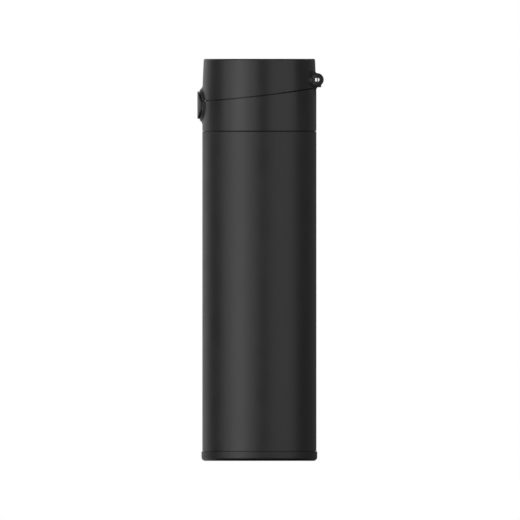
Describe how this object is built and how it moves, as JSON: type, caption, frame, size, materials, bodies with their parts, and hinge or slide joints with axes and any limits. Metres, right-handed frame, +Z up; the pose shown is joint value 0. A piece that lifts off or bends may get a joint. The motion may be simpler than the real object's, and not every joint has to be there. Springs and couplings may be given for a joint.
{
  "type": "vacuum flask",
  "caption": "Slim vacuum-insulated bottle with a screwed lid unit, a button-released flip cap on a rear hinge, and a drinking mouthpiece.",
  "frame": {"origin": "centre of the base ring's underside", "axes": "+Z up along the bottle's axis, -X towards the push button, +X towards the cap's hinge, Y along the hinge pin"},
  "size_m": [0.0736, 0.0674, 0.234],
  "materials": {
    "powder_coat": "satin, very fine grain",
    "lid_plastic": "fine matte texture",
    "base_plastic": "fine matte texture",
    "button_plastic": "fine matte texture",
    "insert_plastic": "smooth polypropylene",
    "latch_plastic": "smooth acetal",
    "silicone": "soft silicone",
    "steel_liner": "electropolished inside",
    "steel_fittings": "drawn",
    "steel_pin": "bright stainless",
    "spring_steel": "drawn wire",
    "copper": "thin copper foil",
    "getter_metal": "dull",
    "seal_glass": "fused bead"
  },
  "bodies": {
    "bottle": {"outer_shell": "powder_coat", "inner_liner": "steel_liner", "liner_base": "steel_liner", "outer_base_disc": "steel_fittings", "copper_foil": "copper", "getter_capsule": "getter_metal", "vacuum_seal_bead": "seal_glass", "base_cap": "base_plastic"},
    "mouthpiece": {"mouthpiece": "insert_plastic", "neck_seal": "silicone"},
    "lid_base": {"collar": "lid_plastic", "thread_ring": "insert_plastic", "hinge_spring": "spring_steel", "button_pivot_pin": "spring_steel", "button_spring": "spring_steel"},
    "button": {"button_cap": "button_plastic", "latch_lever": "latch_plastic"},
    "cap": {"cap_shell": "lid_plastic", "cap_liner": "insert_plastic", "stopper_holder": "insert_plastic", "stopper_seal": "silicone", "hinge_pin": "steel_pin"}
  },
  "joints": [
    {"name": "mouthpiece_lift", "type": "slide", "parent": "bottle", "child": "mouthpiece", "axis": [0, 0, 1], "range_m": [0, 0.0081]},
    {"name": "lid_turn", "type": "hinge", "parent": "mouthpiece", "child": "lid_base", "pos_m": [0, 0, 0], "axis": [0, 0, 1], "range_deg": [0, 720]},
    {"name": "cap_flip", "type": "hinge", "parent": "lid_base", "child": "cap", "pos_m": [0.0336, 0, 0.2218], "axis": [0, 1, 0], "range_deg": [0, 150], "deforming": ["hinge_spring"]},
    {"name": "button_press", "type": "hinge", "parent": "lid_base", "child": "button", "pos_m": [-0.0327, 0, 0.207], "axis": [0, -1, 0], "range_deg": [0, 9], "stiffness_Nm_per_rad": 0.05, "springref_deg": -17.19, "deforming": ["button_spring"]}
  ],
  "couplings": [
    {"joint": "mouthpiece_lift", "follows": "lid_turn", "m_per_rad": 0.00063662}
  ]
}
